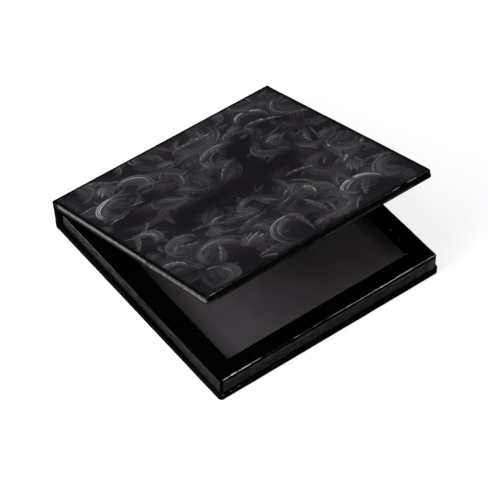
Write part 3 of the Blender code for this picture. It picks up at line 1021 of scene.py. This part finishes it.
def make_camera():
    """The camera fitted to the photograph's corners and edges."""
    azimuth, elevation, roll = (math.radians(angle) for angle in CAMERA_ANGLES)
    level = math.cos(elevation)
    back = Vector((math.sin(azimuth) * level, -math.cos(azimuth) * level, math.sin(elevation)))
    right = Vector((math.cos(azimuth), math.sin(azimuth), 0))
    up = back.cross(right)
    turned_right = right * math.cos(roll) + up * math.sin(roll)
    turned_up = up * math.cos(roll) - right * math.sin(roll)
    data = bpy.data.cameras.new("camera")
    data.sensor_fit = "HORIZONTAL"
    data.sensor_width = SENSOR_WIDTH
    data.lens = FOCAL_LENGTH / IMAGE_WIDTH * SENSOR_WIDTH
    data.clip_start = 0.05
    data.clip_end = 50
    camera = link("camera", data)
    axes = Matrix((turned_right, turned_up, back)).transposed()
    place = Vector(CAMERA_PLACE) * MM + Vector((0, DRAWING_SHIFT, 0))
    camera.matrix_world = Matrix.Translation(place) @ axes.to_4x4()
    bpy.context.scene.camera = camera


# ---- assembly

# Where the paper is painted pale, as painted highlights and painted reflections of its gloss.
# Rows of a cover: 0-3 lip, 4-9 inner bend, 10-16 wall, 17-24 outer bend, then the face
BASE_PAINTED_HIGHLIGHTS = (
    ("front", (
        (7, 8, 0.6, 1.8, 0.45, 0.2), (8, 9, 4, 5.2, 0.3, 0.2), (7, 8, 7.5, 8.8, 0.34, 0.2),
        (7, 8, 10, 98, 0.012, 0.9),
    )),
    ("left", (
        (18, 19, 0.5, 7, 0.08, 0.4), (18, 19, 7, 60, 0.045, 0.95), (18, 19, 49.6, 52.6, 0.14, 0.2),
        (18, 19, 96.5, 101, 0.1, 0.3),
    )),
    ("right", (
        (11, 16, 1, 101, 0.022, 0.4), (5, 6, 1, 101, 0.07, 0.8),
    )),
)
LID_PAINTED_HIGHLIGHTS = (
    ("left", (
        (11, 11, 0.2, 12, 0.09, 0.3, 6), (11, 11, 10, 42, 0.035, 0.6, 6),
        (12, 14, 0.2, 42, 0.11, 0.25, 8), (15, 16, 0.2, 42, 0.083, 0.25, 8),
        (17, 18, 0.2, 42, 0.047, 0.25, 8), (19, 20, 0.2, 42, 0.028, 0.3, 8), (12, 12, 38, 96, 0.038, 0.4),
        (13, 13, 38, 99, 0.105, 0.3), (14, 15, 38, 99, 0.16, 0.2), (16, 16, 38, 99, 0.135, 0.25),
        (17, 18, 38, 99, 0.088, 0.25), (19, 20, 38, 99, 0.06, 0.3),
    )),
    ("front", (
        (22, 23, 0.4, 1.8, 0.1, 0.2), (22, 23, 1.6, 5, 0.24, 0.2), (22, 23, 4.6, 8, 0.1, 0.3),
        (22, 23, 8, 42, 0.045, 0.8), (22, 23, 42, 70, 0.018, 0.6), (22, 23, 70, 82, 0.055, 0.5),
        (22, 23, 82, 86, 0.28, 0.2), (22, 23, 89, 93.5, 0.24, 0.2), (22, 23, 94, 99.5, 0.06, 0.3),
        (9, 11, 0.4, 5, 0.035, 0.3), (9, 11, 4, 48, 0.012, 0.5), (9, 11, 46, 92, 0.038, 0.5),
    )),
    ("right", (
        (10, 16, 1, 99, 0.028, 0.3), (17, 18, 1, 99, 0.16, 0.5),
    )),
)
# Rows of the tray's paper: 0-5 wall, 6-13 outer bend, 14-17 top, 18-25 inner bend, then the well's walls
TRAY_PAINTED_HIGHLIGHTS = (
    ("front", (
        (11, 12, 0.8, 4.6, 0.45, 0.2), (11, 12, 4.4, 7.8, 0.85, 0.12), (11, 12, 7.6, 14, 0.42, 0.3),
        (11, 12, 14, 18.5, 0.28, 0.4), (11, 12, 20, 56, 0.04, 0.9), (11, 12, 32.5, 35.5, 0.22, 0.2),
        (11, 12, 41, 43, 0.15, 0.2), (11, 12, 48, 57, 0.14, 0.5), (11, 12, 56, 70, 0.36, 0.35),
        (11, 12, 69, 88, 0.5, 0.3), (11, 12, 87, 98.6, 0.28, 0.4), (5, 5, 0.7, 98.3, 0.06, 0.3),
        (0, 4, 0.7, 98.3, 0.025, 0.2), (0, 4, 89, 98.3, 0.04, 0.3), (0, 4, 94, 98.3, 0.075, 0.2),
    )),
    ("left", (
        (5, 5, 0.5, 40, 0.03, 0.3, 3), (5, 5, 38, 101, 0.02, 0.4), (3, 4, 0.5, 101, 0.013, 0.2),
        (2, 2, 0.5, 54, 0.015, 0.2, 34), (0, 1, 0.5, 30, 0.01, 0.2, 26), (6, 7, 0.5, 101, 0.012, 0.4),
        (6, 8, 50, 101, 0.035, 0.4), (7, 8, 64, 101, 0.095, 0.4), (4, 4, 60, 101, 0.04, 0.5),
    )),
    ("right", (
        (0, 4, 1.3, 101, 0.028, 0.2), (5, 7, 1.3, 101, 0.07, 0.5), (20, 21, 14, 15.6, 0.6, 0.2),
        (20, 21, 8.2, 9.6, 0.45, 0.2),
    )),
    ("front", (
        (20, 21, 94.2, 96.6, 0.4, 0.2),
    )),
)

PRINT_SIDE = (48.5, 49.0)  # the border's inner edge, from the lid's middle
PRINT_FRONT = (100.8, 101.2)  # and from the spine's outer face, in front
PRINT_BACK = (0.9, 1.3)  # and at the back
LID_SPECULAR = 0.006
PRINT_GROUND = (0.0068, 0.0062, 0.0072)
PRINT_VIOLET = (0.0088, 0.0066, 0.0116)
PRINT_SMOKE = (0.033, 0.031, 0.034)
PRINT_MIDDLE = (0.079, 0.075, 0.082)
PRINT_LIGHT = (0.46, 0.46, 0.47)
PRINT_BORDER = (0.002, 0.002, 0.0025)
case_black = paper_material("case_black_paper", (0.0005, 0.0005, 0.0006), (0.0012, 0.0012, 0.0014),
                            (0.16, 0.26), 0.0012, 0.010 * MM)
black = paper_material("tray_black_paper", (0.0003, 0.0003, 0.0004), (0.0008, 0.0008, 0.0009),
                       (0.13, 0.22), 0.002, 0.010 * MM)
printed = printed_material("printed_lid_paper")
lining = paper_material("satin_black_lining", (0.010, 0.010, 0.011), (0.016, 0.015, 0.016),
                        (0.38, 0.50), 0.4, 0.010 * MM)
floor_paper = paper_material("well_floor_paper", (0.066, 0.056, 0.064), (0.076, 0.065, 0.074),
                             (0.25, 0.32), 0.08, 0.004 * MM)
greyboard = grain_material("greyboard", (0.20, 0.185, 0.165), (0.33, 0.31, 0.28), 900, 0.95)
ferrite = grain_material("ferrite_sheet", (0.026, 0.025, 0.025), (0.040, 0.039, 0.038), 1500, 0.7)
nickel = grain_material("nickel", (0.55, 0.53, 0.50), (0.66, 0.64, 0.60), 1200, 0.25, 1.0, 0.002 * MM)
steel = grain_material("steel", (0.40, 0.40, 0.41), (0.52, 0.52, 0.53), 1800, 0.35, 1.0, 0.002 * MM)


def make_covers():
    """Outer papers of the base and of the lid, the lid's with its printed face."""
    base = cover_shell("base_cover_paper", BASE_FRONT, on_base, (0, 0, -1), 11,
                       bends=(0.45 * MM, 0.15 * MM, 9 * MM), groove=0.05 * MM, dip=0.0,
                       painted_marks=BASE_PAINTED_HIGHLIGHTS, face_insets=[inset * MM for inset in (2, 4, 8, 16, 32, 50)])
    lid = cover_shell("lid_cover_paper", LID_FRONT, on_lid, (0, 0, 1), 21,
                      bends=(0.5 * MM, 0.15 * MM, 9 * MM), groove=0.12 * MM, dip=0.075 * MM,
                      painted_marks=LID_PAINTED_HIGHLIGHTS, face_insets=(RIM,))
    join_pieces(lid, printed_face("lid_face", on_lid, (0, 0, 1)))
    return finish_mesh(base, PAPER), finish_mesh(lid, PAPER)


def assemble():
    """Each sheet stands for the CAD node that it takes its finish from. The hinge papers are drawn bent
    round their folds.
    """
    base, lid = make_covers()
    base_in = cover_lining("base_lining", BASE_FRONT, on_base, (0, 0, 1))
    lid_in = cover_lining("lid_lining", LID_FRONT, on_lid, (0, 0, -1))
    spine, spine_in = spine_shell("spine_paper"), spine_lining("spine_inner_paper")
    for name, cover, opened, place, outward in (
        ("hinge_paper_low", "base", SPINE_LEAN, on_base, (0, 1, -0.2)),
        ("hinge_paper_high", "lid", LID_ANGLE - SPINE_LEAN, on_lid, (0, 1, 0.6)),
    ):
        band, ends = hinge_band(name, opened, place, outward)
        paint(band, case_black)
        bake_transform(band)
    for piece, body, node, material in (
        (base, "base", "base_wrap", case_black),
        (lid, "lid", "lid_wrap", printed),
        (base_in, "base", "base_liner", lining),
        (lid_in, "lid", "lid_liner", lining),
        (spine, "spine", "spine_wrap", case_black),
        (spine_in, "spine", "spine_liner", lining),
        (tray_shell("tray_paper"), "base", "tray_wrap", black),
        (well_paper("well_floor"), "base", "well_paper", floor_paper),
    ):
        paint(piece, material)
        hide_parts(node)
        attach(piece, body)


def dress_hidden_nodes():
    """Grained materials for the CAD nodes that stay, by the first word found in a node's name."""
    kinds = (("magnet_sheet", ferrite), ("magnet", nickel), ("plate", steel), ("", greyboard))
    for name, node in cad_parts.items():
        if not node.hide_render:
            paint(node, next(material for word, material in kinds if word in name))


assemble()
dress_hidden_nodes()
make_floor()
make_world()
for lamp in LAMPS:
    add_lamp(*lamp)
make_camera()
bpy.context.scene.view_settings.view_transform = "Standard"
